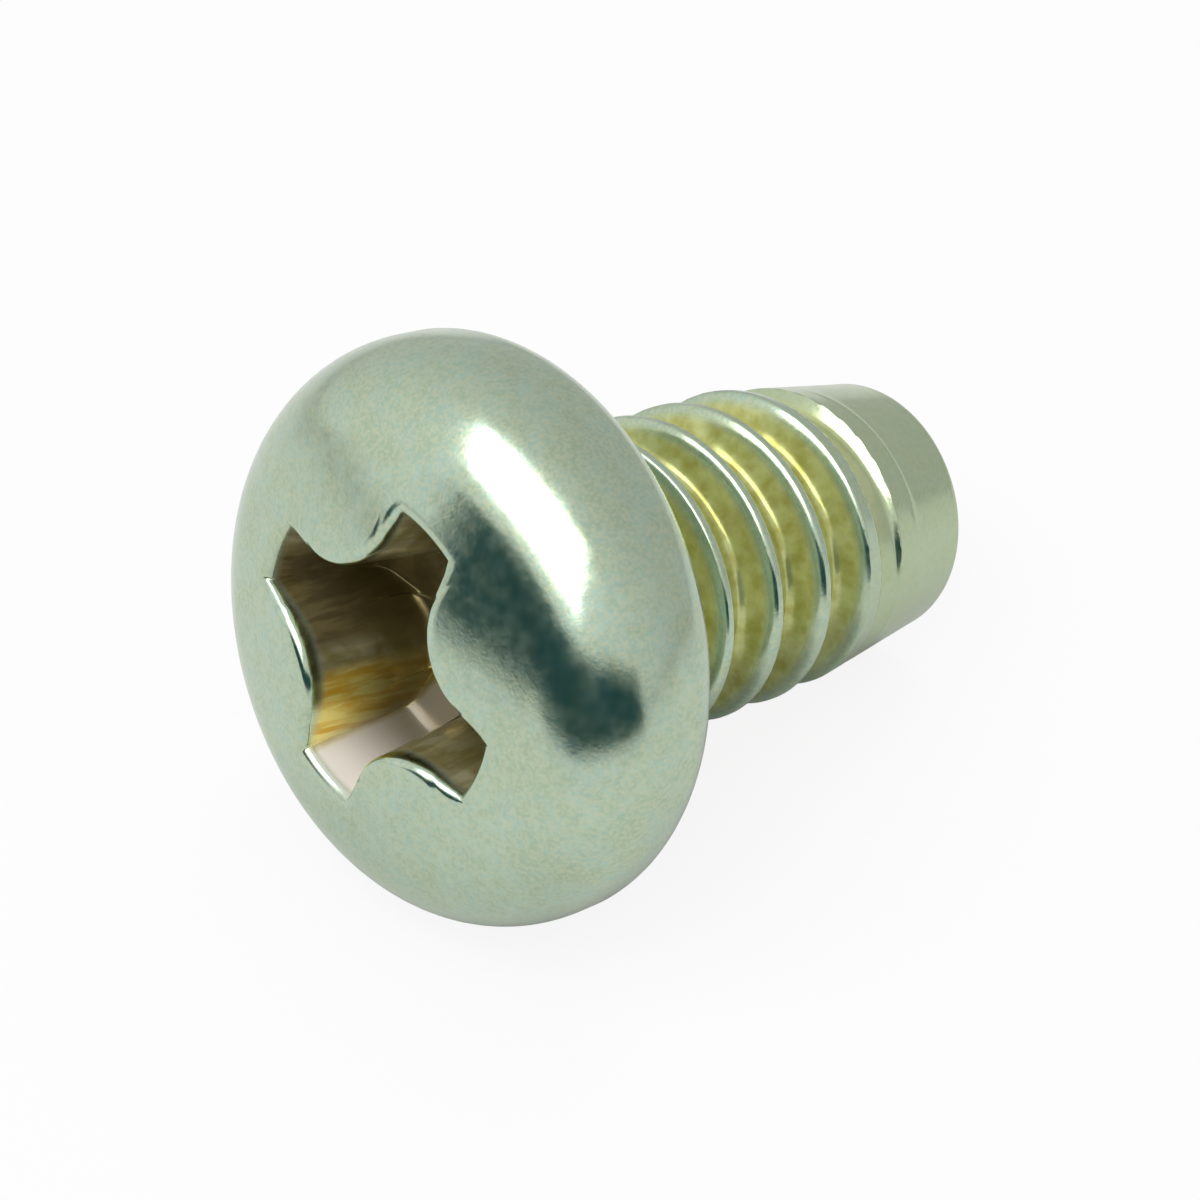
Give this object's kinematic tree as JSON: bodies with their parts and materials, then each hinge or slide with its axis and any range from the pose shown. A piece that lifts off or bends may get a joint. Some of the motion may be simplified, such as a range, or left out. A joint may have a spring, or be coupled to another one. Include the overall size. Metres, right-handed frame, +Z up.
{
  "type": "self-tapping screw",
  "caption": "Short pan-head self-tapping screw with a cross recess, right-hand thread and a plain tapered lead.",
  "frame": {"origin": "middle of the box that holds the screw, on the surface that it lies on", "axes": "+Z up; +X the way that the tip points, seen from above; the screw's axis slopes 15.3 degrees down to the tip"},
  "size_m": [0.0072, 0.0054, 0.0054],
  "materials": {
    "plated_steel": "satin pale green zinc plating, olive in the thread and the recess"
  },
  "bodies": {
    "root": {"screw": "plated_steel"}
  },
  "joints": []
}
